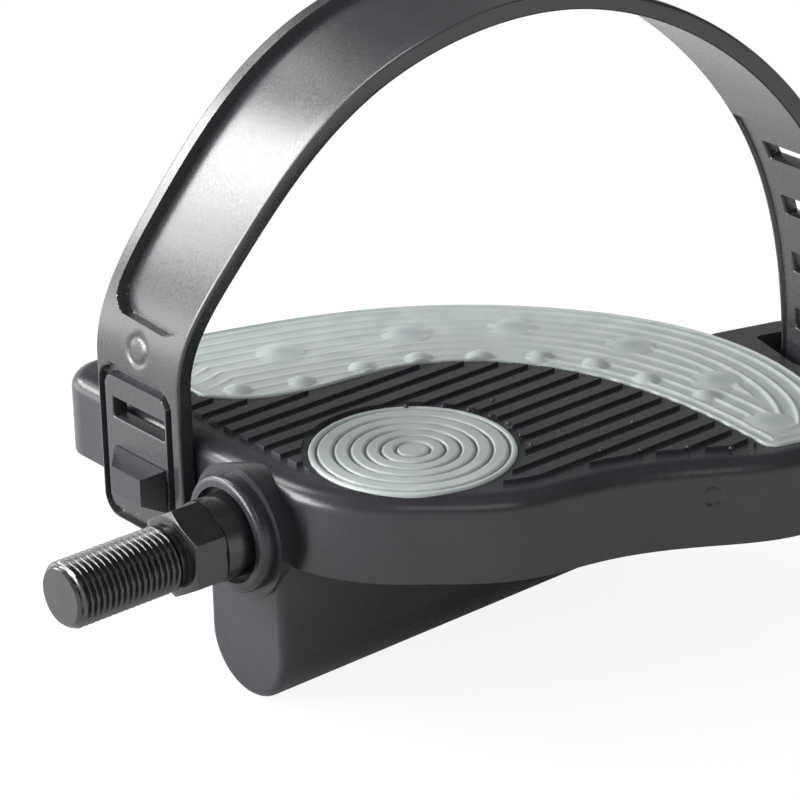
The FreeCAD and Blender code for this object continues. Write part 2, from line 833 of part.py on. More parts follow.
def keel_section(x, inset, top):
    """U-shaped section across the keel, set in from its sides."""
    half = amount("keel_half_width") - inset
    bottom = amount("keel_bottom_z") + inset
    heel_top = Vector(x, -half, top)
    heel_low = Vector(x, -half, bottom + half)
    toe_low = Vector(x, half, bottom + half)
    toe_top = Vector(x, half, top)
    edges = [
        Part.LineSegment(heel_top, heel_low).toShape(),
        Part.Arc(heel_low, Vector(x, 0, bottom), toe_low).toShape(),
        Part.LineSegment(toe_low, toe_top).toShape(),
        Part.LineSegment(toe_top, heel_top).toShape(),
    ]
    return Part.Face(Part.Wire(edges))


def make_keel():
    start = amount("keel_start_x")
    keel = keel_section(start, 0, 0).extrude(TO_OUTBOARD * amount("keel_end_x - keel_start_x"))
    front = [edge for edge in edges_at(keel, "x", start) if edge.BoundBox.ZMin < -SMALL_STEP]
    return solid_from("keel", keel.makeFillet(amount("keel_edge_rounding"), front))


def make_lip():
    lip = cylinder_along_x("hub_lip_turning", "hub_face_x", "hub_face_x + lip_length", "lip_radius")
    doc.recompute()
    rounded = doc.addObject("Part::Fillet", "hub_lip")
    rounded.Base = lip
    front = edges_at(lip.Shape, "x", amount("hub_face_x"))
    number = [index for index, edge in enumerate(lip.Shape.Edges, start=1)
              if any(edge.isSame(other) for other in front)]
    rounding = amount("lip_rounding")
    rounded.Edges = [(index, rounding, rounding) for index in number]
    return rounded


def make_boss():
    """Hub boss that tapers into the rounded edge of the deck."""
    start = "hub_face_x + lip_length"
    end = "inboard_wall_x + deck_edge_rounding"
    return turned("hub_boss", [
        (start, None),
        (start, "boss_radius"),
        (end, "deck_top_z - boss_end_drop"),
        (end, None),
    ])


def make_barrel():
    """Bearing barrel that ends inside the platform's edge."""
    tube = cylinder_along_x("hub_tube", "hub_face_x + lip_length", "platform_end_x", BARREL_RADIUS)
    radius = amount(BARREL_RADIUS)
    room = solid_from("hub_room", prism(
        platform_outline(amount("deck_edge_rounding")), -radius, radius))
    return common("hub_barrel", tube, room)


def make_deck_bars():
    """Raised bars across the deck, clear of its edge and of the pads."""
    top = amount("deck_top_z + bar_height")
    low = amount("deck_top_z - bar_root")
    gap = amount("pad_clearance + bar_pad_gap")
    field = prism(platform_outline(amount("bar_margin")), low, top)
    round_pad = Part.makeCylinder(amount("round_pad_radius") + gap, top - low,
                                  Vector(amount("round_pad_x"), amount("round_pad_y"), low))
    field = field.cut([toe_pad_prism(gap, low, top), round_pad])
    span = field.BoundBox
    width = amount("bar_width")
    bars = []
    place = span.YMin + amount("bar_pitch") / 2
    while place < span.YMax:
        bars.append(Part.makeBox(span.XLength, width, top - low, Vector(span.XMin, place, low)))
        place += amount("bar_pitch")
    return solid_from("deck_bars", field.common(Part.makeCompound(bars)))


def weight_prism(room, start, end):
    """Counterweight's bar with rounded lower corners, grown by the room round it."""
    half = amount("pocket_half_width") - amount("weight_clearance") + room
    low = amount("pocket_bottom_z + weight_clearance") - room
    high = amount("pocket_top_z - weight_clearance") + room
    corner = Vector(start, amount("pocket_middle_y") - half, low)
    bar = Part.makeBox(end - start, 2 * half, high - low, corner)
    corners = [edge for edge in edges_at(bar, "z", low) if edge.BoundBox.XLength > SMALL_STEP]
    return bar.makeFillet(amount("pocket_corner_radius"), corners)


def make_screw_shapes(name, radius, start, end):
    """One cylinder at each screw's height."""
    shapes = []
    for height in ("upper_screw_z", "lower_screw_z"):
        shape = cylinder_along_x("%s_%s" % (name, height), start, end, radius)
        bind(shape, z=height)
        shapes.append(shape)
    return shapes


def make_pedal_body():
    shell = cut("platform_shell", make_platform(), make_underside_cells())
    solid = fused("body_blank", [
        shell, make_boss(), make_lip(), make_barrel(), make_keel(), make_inboard_catch(), make_ear(),
        make_deck_bars()])
    bores = turned("hub_bores", [
        ("hub_face_x", None),
        ("hub_face_x", "inboard_bore_radius"),
        (INBOARD_CUP_BACK, "inboard_bore_radius"),
        (INBOARD_CUP_BACK, "middle_bore_radius"),
        (OUTBOARD_CUP_BACK, "middle_bore_radius"),
        (OUTBOARD_CUP_BACK, "outboard_bore_radius"),
        ("platform_end_x", "outboard_bore_radius"),
        ("platform_end_x", None),
    ])
    weight_room = solid_from("weight_pocket", weight_prism(
        amount("weight_clearance"), amount("pocket_start_x"), amount("keel_end_x")))
    holes = make_screw_shapes("screw_hole", "screw_radius + screw_hole_clearance",
                              "keel_end_x - screw_length", "keel_end_x + cover_thickness")
    tools = fused("body_hollows", [bores, weight_room] + make_pad_pockets() + holes)
    return cut("pedal_body", solid, tools)


# Counterweight, its cover plate and the cover's screws


def make_counterweight():
    room = amount("weight_clearance")
    start = amount("pocket_start_x") + room
    return solid_from("counterweight", weight_prism(0, start, amount("keel_end_x") - room))


def make_cover():
    start = amount("keel_end_x")
    plate = keel_section(start, amount("cover_inset"), amount("cover_top_z"))
    plate = solid_from("cover_plate", plate.extrude(TO_OUTBOARD * amount("cover_thickness")))
    holes = make_screw_shapes("cover_hole", "screw_radius + screw_hole_clearance",
                              "keel_end_x", "keel_end_x + cover_thickness")
    return cut("weight_cover", plate, fused("cover_holes", holes))


def make_screws():
    seat = "keel_end_x + cover_thickness"
    shanks = make_screw_shapes("screw_shank", "screw_radius", seat + " - screw_length", seat)
    heads = make_screw_shapes("screw_head", "screw_head_radius", seat, seat + " + screw_head_height")
    screws = doc.addObject("Part::Compound", "cover_screws")
    screws.Links = [fused("cover_screw_%d" % index, list(pair))
                    for index, pair in enumerate(zip(shanks, heads), start=1)]
    return screws


def build():
    pieces = [
        make_spindle(),
        make_balls("inboard_balls", "inboard_ball_x", "inboard_ball_circle", INBOARD_BALL_COUNT),
        make_balls("outboard_balls", "outboard_ball_x", "outboard_ball_circle", OUTBOARD_BALL_COUNT),
        make_cone(),
        make_washer(),
        make_nut(),
        make_seal(),
        make_dust_cap(),
        make_strap(),
        make_pedal_body(),
        make_counterweight(),
        make_cover(),
        make_screws(),
    ]
    return pieces + make_cups() + make_pads()


def check_and_write(pieces):
    doc.recompute()
    for item in doc.Objects:
        if "Invalid" in item.State or "Error" in item.State:
            raise RuntimeError("%s failed: %s" % (item.Name, item.State))
    for piece in pieces:
        if piece.Shape.isNull() or not piece.Shape.isValid():
            raise RuntimeError("%s has no valid shape" % piece.Label)
    os.makedirs("parts", exist_ok=True)
    for piece in pieces:
        piece.Shape.exportStep("parts/%s.step" % piece.Label)
        print(piece.Label, len(piece.Shape.Solids), "solids", round(piece.Shape.Volume, 1), "mm3")


check_and_write(build())
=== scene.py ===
"""Looks of a self-levelling exercise bike pedal with a moulded foot strap.

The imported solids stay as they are. The strap, the two grip pads and the spindle are replaced by
finer meshes of the same shape, small pips are added on the deck, and every surface gets a
procedural material. Sizes are in millimetres in the part's own frame: +X outboard along the
spindle, +Y to the toe and +Z up.
"""
import json
import math

import bmesh
import bpy
import numpy as np
from mathutils import Matrix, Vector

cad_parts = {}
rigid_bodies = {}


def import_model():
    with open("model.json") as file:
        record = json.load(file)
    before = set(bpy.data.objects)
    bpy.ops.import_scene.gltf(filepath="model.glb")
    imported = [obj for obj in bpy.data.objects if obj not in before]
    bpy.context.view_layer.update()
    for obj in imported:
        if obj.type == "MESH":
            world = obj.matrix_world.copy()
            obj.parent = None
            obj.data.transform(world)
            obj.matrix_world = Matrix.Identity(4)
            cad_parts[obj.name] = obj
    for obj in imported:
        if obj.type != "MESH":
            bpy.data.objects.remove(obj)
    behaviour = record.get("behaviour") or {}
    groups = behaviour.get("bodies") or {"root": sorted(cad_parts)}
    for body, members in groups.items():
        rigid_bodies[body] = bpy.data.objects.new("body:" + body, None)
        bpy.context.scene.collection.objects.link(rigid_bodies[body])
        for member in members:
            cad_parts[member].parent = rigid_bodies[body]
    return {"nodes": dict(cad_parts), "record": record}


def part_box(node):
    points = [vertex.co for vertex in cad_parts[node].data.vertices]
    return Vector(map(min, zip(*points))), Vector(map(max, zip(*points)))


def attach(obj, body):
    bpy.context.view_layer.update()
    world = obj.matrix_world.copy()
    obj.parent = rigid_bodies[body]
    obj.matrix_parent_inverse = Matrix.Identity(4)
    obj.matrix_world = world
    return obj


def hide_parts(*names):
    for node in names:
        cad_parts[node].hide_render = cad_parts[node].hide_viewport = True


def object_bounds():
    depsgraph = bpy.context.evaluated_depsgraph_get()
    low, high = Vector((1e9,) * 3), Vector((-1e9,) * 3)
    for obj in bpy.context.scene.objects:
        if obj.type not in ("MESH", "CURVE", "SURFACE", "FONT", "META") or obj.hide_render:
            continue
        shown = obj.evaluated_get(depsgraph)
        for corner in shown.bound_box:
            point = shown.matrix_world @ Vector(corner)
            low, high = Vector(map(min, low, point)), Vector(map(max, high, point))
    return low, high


MM = 0.001
WHITE = (1, 1, 1, 1)

# Meshes: edges turned by more than the angle stay sharp, points closer than the gap are merged,
# and a point this near to a plane counts as on it
SMOOTH_DEGREES = 42.0
MERGE_GAP = 0.0001
PLANE_SPARE = 0.01
POINT_DECIMALS = 3

# Strap: the line of its outer face, and its section
STRAP_FOOT = (15.4, 30.0, 21.4)
STRAP_POINTS = [
    (24.3, 24.2, 49.0),
    (48.4, 7.9, 84.4),
    (78.1, -10.5, 95.5),
    (127.1, -33.0, 55.0),
]
STRAP_TAIL = (131.7, -38.4, 11.6)
STRAP_TAIL_LENGTH = 25.0
STRAP_PANEL_DROP = 32.9
STRAP_THICKNESS = 3.4
STRAP_END_WIDTH = 26.0
STRAP_MIDDLE_SWELL = 5.6
STRAP_TURN_DEGREES = 16.4
STRAP_LEVEL_SHARE = 0.14
STRAP_EDGE_ROUNDING = 0.7
STRAP_EDGE_SHARES = (0.08, 0.3, 0.6, 1.0)
STRAP_CORNER_RADIUS = 4.5
STRAP_CORNER_STEPS = 9
STRAP_TABLE_STEPS = 400

# Strap: slots, measured down from the foot for the panel and from the tail's top for the tail
SLOT_HEIGHT = 4.0
SLOT_LENGTH = 16.3
SLOT_ROUNDING = 0.35
PANEL_SLOT_DROPS = (21.5, 9.1)
TAIL_SLOT_FIRST = 17.4
TAIL_SLOT_PITCH = 12.4
TAIL_SLOT_COUNT = 6

# Strap: sunk channel outside, framed panel at the foot, gate mark, and thinned tail inside
CHANNEL_SHARES = (0.046, 0.76)
CHANNEL_RIM = 3.0
CHANNEL_DEPTH = 2.2
CHANNEL_CORNER = 5.0
CHANNEL_WALL = 0.3
CHANNEL_WALL_SHARES = (0.0, 0.33, 0.67, 1.0)
GROOVE_TOP_DROP = 1.6
GROOVE_TOE_INSET = 1.6
GROOVE_HEEL_INSET = 3.3
GROOVE_BOTTOM_INSET = 1.6
GROOVE_CORNER = 3.4
GROOVE_HALF_WIDTH = 0.95
GROOVE_DEPTH = 1.5
GROOVE_WALL = 0.3
GATE_ABOVE_FOOT = 4.8
GATE_RADIUS = 2.7
GATE_LINE = 0.5
GATE_DEPTH = 0.35
RECESS_ABOVE_TAIL = 52.6
RECESS_RIM = 1.0
RECESS_DEPTH = 0.6
RECESS_WALL = 0.3

# Strap: how far apart its mesh lines lie, and the margins that keep their width where it swells
STRAP_ROW_STEP = 1.2
STRAP_FINE_STEP = 0.3
STRAP_COLUMN_STEP = 0.45
SLOT_BAND = 0.6
SLOT_LINES = (SLOT_ROUNDING / 3, SLOT_ROUNDING, SLOT_BAND)
SLOT_SPARE = 1e-6
RIGID_TAIL_EDGE = 2.0
RIGID_CHANNEL_EDGE = 6.0

# Round pad: raised rim and rings of grooves
ROUND_PAD_RIM = 1.1
ROUND_PAD_GROOVES = (17.9, 14.7, 11.7, 8.85, 6.0, 3.2)
ROUND_PAD_GROOVE_DEPTH = 0.7
ROUND_PAD_GROOVE_WIDTH = 0.3
ROUND_PAD_CROWN = 0.12
ROUND_PAD_STEPS = 260
ROUND_PAD_TURNS = 180

# Toe pad: rim, ridges along its outer side that loop round its heel tip, small domes along its
# inner edge, and low bosses that are tinted as if pegs below them showed faintly through
TOE_PAD_ENDS = ((29.8, 45.5), (101.0, -60.0))
TOE_PAD_BORDER = 1.0
TOE_PAD_BASE_DROP = 0.3
TOE_RIDGE_PITCH = 3.4
TOE_RIDGE_WIDTH = 0.5
TOE_RIDGE_HEIGHT = 0.42
TOE_LOW_RIDGE_HEIGHT = 0.2
TOE_PAD_INBOARD_END = 31.5
TOE_INBOARD_FADE = 9.0
TOE_LOOP_FROM = 55.0
TOE_LOOP_TO = 90.0
SMALL_DOMES = [
    (38.3, 29.1),
    (49.9, 23.8),
    (63.0, 21.2),
    (74.0, 17.3),
    (83.5, 9.9),
    (92.0, 1.8),
    (97.6, -8.3),
    (99.8, -20.2),
    (102.7, -33.6),
]
SMALL_DOME_RADIUS = 2.8
SMALL_DOME_HEIGHT = 1.1
LOW_BOSSES = [
    (55.8, 37.5),
    (80.3, 28.3),
    (98.2, 16.4),
    (109.1, -6.4),
    (109.3, -29.8),
    (102.6, -50.2),
]
LOW_BOSS_RADIUS = 5.2
LOW_BOSS_HEIGHT = 0.6
BOSS_FADE = 0.3
PEG_RADIUS = 4.0
PEG_TOP_Z = 12.0
PEG_TINT = (0.29, 0.35, 0.36, 1.0)
PEG_TINT_SHARE = 0.6
TOE_PAD_COLUMNS = 520
TOE_PAD_ROWS = 140
TOE_PAD_EDGE_SHARE = 0.35

# Small pips at the ends of the deck's bars
BAR_TOP_Z = 12.2
BAR_PIP_RADIUS = 0.45
BAR_PIP_SUBDIVISIONS = 2
BAR_PIPS = [
    (56.7, 0.7),
    (61.9, -4.0),
    (64.3, -8.7),
    (65.5, -13.6),
    (65.6, -18.5),
    (63.9, -23.7),
    (62.3, -28.2),
    (70.7, -8.3),
    (83.3, -33.5),
    (70.3, -38.5),
    (75.7, -43.4),
    (83.0, -48.3),
    (88.5, -53.9),
]

# Marks left in the platform by its mould: place, radius and depth
MOULD_MARKS = [
    ((82.0, -55.8, 5.2), 2.3, 0.5),
    ((20.4, -21.6, 9.3), 0.7, 0.4),
]

# Crank thread, right hand
THREAD_START = -24.3
THREAD_END = -2.0
THREAD_PITCH = 1.27
THREAD_CREST_RADIUS = 6.35
THREAD_DEPTH = 0.78
THREAD_FLANK_SLOPE = 1.35
THREAD_CREST_SHARE = 0.2
THREAD_TIP_RADIUS = 5.3
THREAD_TIP_LENGTH = 1.1
THREAD_STEPS_PER_TURN = 10
THREAD_TURN_STEPS = 96

# Camera: turned about the hub's face, in degrees, with its place measured along its own axes
CAMERA_AZIMUTH = -40.0
CAMERA_ELEVATION = 24.0
CAMERA_ROLL = -1.0
CAMERA_LENS = 144.0
CAMERA_OFFSET = (32.07, 24.73, 585.01)
CAMERA_CLIP_METRES = (0.01, 100.0)
HUB_FACE_X = 12.2

# Studio: how bright its parts look, with white paper at 1, and where its back wall ends above the
# horizon
AMBIENT_LEVEL = 0.41
CEILING_LEVEL = 0.18
WALL_TOP_RISE = 0.1
CEILING_RISE = 0.4

# Floor: its own glow, and how far from the part the shade painted into that glow reaches in reflections
FLOOR_GLOW = 0.9
FLOOR_SHADE_REACH = 110.0
FLOOR_SHADE_SAMPLES = 2
FLOOR_COLOR = (0.12, 0.12, 0.12, 1)
FLOOR_ROUGHNESS = 0.8
FLOOR_HALF_SIZE = 4000.0
FLOOR_GAP = 0.5

# Lamps: name, direction from their target, distance, width, height and how bright each looks
LAMP_TARGET = (70.0, 0.0, 20.0)
LAMPS = [
    ("key_box", (-0.67, 0.65, 0.35), 700.0, 780.0, 140.0, 16.0),
    ("fill_box", (-0.69, 0.71, -0.03), 450.0, 500.0, 110.0, 3.6),
    ("side_box", (-0.95, 0.3, 0.13), 600.0, 320.0, 130.0, 17.0),
    ("top_box", (-0.4, 0.6, 0.68), 800.0, 260.0, 260.0, 9.0),
    ("front_box", (-0.35, -0.65, 0.67), 800.0, 400.0, 300.0, 1.8),
]

# Materials: the stretch of a texture's values that is used, its detail, and the shade painted in
# grooves
TEXTURE_LOW = 0.3
TEXTURE_HIGH = 0.7
PATCH_DETAIL = 3.0
GRAIN_DETAIL = 2.0
GRAIN_STRENGTH = 0.6
GROOVE_SHADE_SAMPLES = 4
GROOVE_SHADE_REACH = 1.0


# Mesh helpers


def linked(name, mesh, material):
    """Smooth-shaded object of a mesh, put in the scene."""
    mesh.shade_smooth()
    mesh.materials.append(material)
    item = bpy.data.objects.new(name, mesh)
    bpy.context.collection.objects.link(item)
    return item


def mesh_object(name, points, faces, material):
    """Object from points in millimetres, with merged points and faces that look outward."""
    mesh = bpy.data.meshes.new(name)
    mesh.from_pydata((np.asarray(points) * MM).tolist(), [], faces)
    shape = bmesh.new()
    shape.from_mesh(mesh)
    bmesh.ops.remove_doubles(shape, verts=shape.verts, dist=MERGE_GAP * MM)
    bmesh.ops.recalc_face_normals(shape, faces=shape.faces)
    shape.to_mesh(mesh)
    shape.free()
    item = linked(name, mesh, material)
    mesh.set_sharp_from_angle(angle=math.radians(SMOOTH_DEGREES))
    return item


def stand_in(item, node, body):
    """Let a mesh take a CAD node's place on its body."""
    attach(item, body)
    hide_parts(node)


def smooth_step(value):
    """0 below 0, 1 above 1, and a smooth rise between."""
    share = np.clip(value, 0.0, 1.0)
    return share * share * (3.0 - 2.0 * share)


def rounding(distance, radius):
    """How far a rounded edge lies below its face at a distance in from the edge."""
    inward = np.clip(radius - distance, 0.0, radius)
    return radius - np.sqrt(radius * radius - inward * inward)


def box_distance(along, across, half_length, half_width, corner):
    """Distance inside the edge of a rectangle with rounded corners, negative outside it."""
    out_along = np.abs(along) - (half_length - corner)
    out_across = np.abs(across) - (half_width - corner)
    outside = np.hypot(np.maximum(out_along, 0.0), np.maximum(out_across, 0.0))
    return corner - outside - np.minimum(np.maximum(out_along, out_across), 0.0)


def lines_between(start, end, step, wanted):
    """Rising places from start to end, no further apart than step, with the wanted ones among them."""
    fixed = sorted({start, end, *(place for place in wanted if start < place < end)})
    places = [start]
    for low, high in zip(fixed, fixed[1:]):
        count = max(1, math.ceil((high - low) / step))
        places.extend(low + (high - low) * index / count for index in range(1, count + 1))
    return np.array(places)


def grid_faces(rows, columns, first=0):
    """Four-sided faces of a grid of points that is stored row by row."""
    faces = []
    for row in range(rows - 1):
        for column in range(columns - 1):
            corner = first + row * columns + column
            faces.append((corner, corner + 1, corner + columns + 1, corner + columns))
    return faces


def open_edges(faces):
    """Edges that only one of the faces uses."""
    used = {}
    for face in faces:
        for start, end in zip(face, face[1:] + face[:1]):
            key = (min(start, end), max(start, end))
            used[key] = None if key in used else (start, end)
    return [edge for edge in used.values() if edge]


# Strap


def clamped_spline(points, first_heading, last_heading):
    """Place and heading at a share along a smooth line through points, with set end headings."""
    points = np.array(points, float)
    steps = np.linalg.norm(np.diff(points, axis=0), axis=1)
    knots = np.concatenate([[0.0], np.cumsum(steps)])
    count = len(points)
    system = np.eye(count)
    sides = np.zeros((count, 3))
    sides[0] = first_heading
    sides[-1] = last_heading
    for index in range(1, count - 1):
        before = steps[index - 1]
        after = steps[index]
        rise_before = (points[index] - points[index - 1]) / before
        rise_after = (points[index + 1] - points[index]) / after
        system[index, index - 1:index + 2] = after, 2 * (before + after), before
        sides[index] = 3 * (after * rise_before + before * rise_after)
    slopes = np.linalg.solve(system, sides)

    def at(share):
        """Place and unit heading at one share."""
        distance = share * knots[-1]
        index = min(int(np.searchsorted(knots, distance, side="right")) - 1, count - 2)
        span = steps[index]
        t = (distance - knots[index]) / span
        start, end = points[index], points[index + 1]
        leave, arrive = slopes[index] * span, slopes[index + 1] * span
        place = ((2 * t ** 3 - 3 * t ** 2 + 1) * start + (t ** 3 - 2 * t ** 2 + t) * leave
                 + (3 * t ** 2 - 2 * t ** 3) * end + (t ** 3 - t ** 2) * arrive)
        heading = ((6 * t ** 2 - 6 * t) * (start - end) + (3 * t ** 2 - 4 * t + 1) * leave
                   + (3 * t ** 2 - 2 * t) * arrive)
        return place, heading / np.linalg.norm(heading)

    return at


class StrapLine:
    """The strap's outer face, measured in millimetres along it from the foot."""

    def __init__(self):
        self.line = clamped_spline([STRAP_FOOT, *STRAP_POINTS, STRAP_TAIL], (0, 0, 1), (0, 0, -1))
        self.shares = np.linspace(0.0, 1.0, STRAP_TABLE_STEPS)
        places = np.array([self.line(share)[0] for share in self.shares])
        steps = np.linalg.norm(np.diff(places, axis=0), axis=1)
        self.lengths = np.concatenate([[0.0], np.cumsum(steps)])
        self.arch_length = self.lengths[-1]
        self.start = -STRAP_PANEL_DROP
        self.end = self.arch_length + STRAP_TAIL_LENGTH

    def share(self, distance):
        """Share of the arch at a distance along it."""
        return float(np.interp(distance, self.lengths, self.shares))

    def length_at(self, share):
        """Distance along the arch at a share of it."""
        return float(np.interp(share, self.shares, self.lengths))

    def section(self, distance):
        """Place, across and outward directions, and half width."""
        share = self.share(distance)
        place, along = self.line(share)
        past = distance - min(max(distance, 0.0), self.arch_length)
        turn = math.radians(STRAP_TURN_DEGREES * share)
        across = np.array([math.sin(turn), math.cos(turn), 0.0])
        square = min(1.0, share / STRAP_LEVEL_SHARE)
        across = across - along * (square * across.dot(along))
        across /= np.linalg.norm(across)
        outward = np.cross(along, across)
        outward /= np.linalg.norm(outward)
        half = (STRAP_END_WIDTH + STRAP_MIDDLE_SWELL * math.sin(math.pi * share)) / 2
        return place + along * past, across, outward, half

    def slot_places(self):
        """Distances of the slots' middles: the panel's, then the tail's from its end upward."""
        panel = [-drop for drop in PANEL_SLOT_DROPS]
        first = self.arch_length + TAIL_SLOT_FIRST
        return panel + [first - TAIL_SLOT_PITCH * index for index in range(TAIL_SLOT_COUNT)]


def near_lines(edges, offsets):
    """Lines at each of some offsets to both sides of edges."""
    return [edge + side * offset for edge in edges for offset in offsets for side in (-1, 1)]


def strap_end_distance(line, distance, offset, half):
    """Distance in from the strap's outline, which has rounded corners at both ends."""
    middle = (line.start + line.end) / 2
    half_length = (line.end - line.start) / 2
    return box_distance(distance - middle, offset, half_length, half, STRAP_CORNER_RADIUS)


def slot_distance(line, distance, offset):
    """Distance to the nearest slot, negative inside it."""
    nearest = np.full_like(distance, np.inf)
    for place in line.slot_places():
        inside = box_distance(distance - place, offset, SLOT_HEIGHT / 2, SLOT_LENGTH / 2, SLOT_ROUNDING)
        nearest = np.minimum(nearest, -inside)
    return nearest


def outside_depth(line, distance, offset, half):
    """How far the strap's outside lies below its plain outer face."""
    first, last = (line.length_at(share) for share in CHANNEL_SHARES)
    channel = box_distance(distance - (first + last) / 2, offset, (last - first) / 2,
                           half - CHANNEL_RIM, CHANNEL_CORNER)
    depth = CHANNEL_DEPTH * smooth_step(channel / CHANNEL_WALL)

    low = line.start + GROOVE_BOTTOM_INSET
    high = -GROOVE_TOP_DROP
    heel = -half + GROOVE_HEEL_INSET
    toe = half - GROOVE_TOE_INSET
    groove = np.abs(box_distance(distance - (low + high) / 2, offset - (heel + toe) / 2,
                                 (high - low) / 2, (toe - heel) / 2, GROOVE_CORNER))
    depth += GROOVE_DEPTH * smooth_step((GROOVE_HALF_WIDTH - groove) / GROOVE_WALL)

    gate = np.hypot(distance - GATE_ABOVE_FOOT, offset)
    depth += GATE_DEPTH * np.exp(-((gate - GATE_RADIUS) / GATE_LINE) ** 2)
    return depth


def inside_depth(line, distance, offset, half):
    """How far the strap's inside lies above its plain inner face; the recess is open at the tail."""
    first = line.arch_length - RECESS_ABOVE_TAIL
    last = line.end + STRAP_TAIL_LENGTH
    recess = box_distance(distance - (first + last) / 2, offset, (last - first) / 2,
                          half - RECESS_RIM, RECESS_RIM)
    return RECESS_DEPTH * smooth_step(recess / RECESS_WALL)


def fine_lines(start, end):
    """Closely spaced lines, for a stretch with curved edges."""
    return list(np.arange(start, end, STRAP_FINE_STEP))


def strap_rows(line):
    """Distances along the strap, with lines across all that has an edge there."""
    slot_edges = near_lines(line.slot_places(), [SLOT_HEIGHT / 2])
    wanted = slot_edges + near_lines(slot_edges, SLOT_LINES)
    first, last = (line.length_at(share) for share in CHANNEL_SHARES)
    wanted += fine_lines(first - CHANNEL_WALL, first + CHANNEL_CORNER)
    wanted += fine_lines(last - CHANNEL_CORNER, last + CHANNEL_WALL)
    groove_low = line.start + GROOVE_BOTTOM_INSET
    groove_span = GROOVE_CORNER + GROOVE_HALF_WIDTH
    wanted += fine_lines(groove_low - GROOVE_HALF_WIDTH, groove_low + groove_span)
    wanted += fine_lines(-GROOVE_TOP_DROP - groove_span, GROOVE_HALF_WIDTH - GROOVE_TOP_DROP)
    gate_reach = GATE_RADIUS + GATE_LINE
    wanted += fine_lines(GATE_ABOVE_FOOT - gate_reach, GATE_ABOVE_FOOT + gate_reach)
    wanted += near_lines([line.arch_length - RECESS_ABOVE_TAIL], (0.0, RECESS_WALL))
    for turn in np.linspace(0.0, math.pi / 2, STRAP_CORNER_STEPS):
        inset = STRAP_CORNER_RADIUS * (1 - math.cos(turn))
        wanted += [line.start + inset, line.end - inset]
    return lines_between(line.start, line.end, STRAP_ROW_STEP, wanted)


def strap_columns():
    """Offsets across the strap's end width, with lines along all that has an edge there."""
    half = STRAP_END_WIDTH / 2
    slot_ends = (-SLOT_LENGTH / 2, SLOT_LENGTH / 2)
    wanted = list(slot_ends) + near_lines(slot_ends, SLOT_LINES)
    insets = [STRAP_EDGE_ROUNDING * share for share in STRAP_EDGE_SHARES]
    insets += [RECESS_RIM, RECESS_RIM + RECESS_WALL]
    insets += [CHANNEL_RIM + CHANNEL_WALL * share for share in CHANNEL_WALL_SHARES]
    for inset in insets:
        wanted += [half - inset, inset - half]
    heel = GROOVE_HEEL_INSET - half
    toe = half - GROOVE_TOE_INSET
    wanted += near_lines([heel, toe], (GROOVE_HALF_WIDTH - GROOVE_WALL, GROOVE_HALF_WIDTH))
    wanted += fine_lines(toe - GROOVE_CORNER, toe + GROOVE_HALF_WIDTH)
    return lines_between(-half, half, STRAP_COLUMN_STEP, wanted)


def spread_columns(line, columns, distance, half):
    """Columns moved to a wider strap: the slots keep their length and the channel its rim."""
    end_half = STRAP_END_WIDTH / 2
    slot_half = SLOT_LENGTH / 2 + SLOT_BAND
    reach = np.abs(columns)
    at_slots = np.interp(reach, [0.0, slot_half, end_half - RIGID_TAIL_EDGE, end_half],
                         [0.0, slot_half, half - RIGID_TAIL_EDGE, half])
    at_channel = np.interp(reach, [0.0, end_half - RIGID_CHANNEL_EDGE, end_half],
                           [0.0, half - RIGID_CHANNEL_EDGE, half])
    tail_slots_from = line.slot_places()[-1] - SLOT_HEIGHT / 2
    channel_share = smooth_step((tail_slots_from - SLOT_BAND - distance) / SLOT_HEIGHT)
    return np.sign(columns) * (at_slots + (at_channel - at_slots) * channel_share)


def make_strap(material):
    """The strap as two grids, outside and inside, with walls where the grids end."""
    line = StrapLine()
    rows = strap_rows(line)
    columns = strap_columns()

    outside, inside, in_slot = [], [], []
    for distance in rows:
        place, across, outward, half = line.section(distance)
        offset = spread_columns(line, columns, distance, half)
        end_gap = min(distance - line.start, line.end - distance)
        trim = float(rounding(np.array(end_gap), STRAP_CORNER_RADIUS))
        offset = np.clip(offset, trim - half, half - trim)
        along = np.full_like(offset, distance)
        edge = np.maximum(strap_end_distance(line, along, offset, half), 0.0)
        slot = slot_distance(line, along, offset)
        soft = rounding(edge, STRAP_EDGE_ROUNDING) + rounding(np.maximum(slot, 0.0), SLOT_ROUNDING)
        over = soft + outside_depth(line, along, offset, half)
        under = STRAP_THICKNESS - soft - inside_depth(line, along, offset, half)
        outside.append(place + np.outer(offset, across) - np.outer(over, outward))
        inside.append(place + np.outer(offset, across) - np.outer(under, outward))
        in_slot.append(slot)

    slot_at = np.array(in_slot).ravel()
    faces = [face for face in grid_faces(len(rows), len(columns))
             if not all(slot_at[corner] < SLOT_SPARE for corner in face)]
    count = len(rows) * len(columns)
    back = [tuple(corner + count for corner in reversed(face)) for face in faces]
    walls = [(end, start, start + count, end + count) for start, end in open_edges(faces)]
    points = np.concatenate([np.concatenate(outside), np.concatenate(inside)])
    return mesh_object("strap_moulding", points, faces + back + walls, material)


# Grip pads


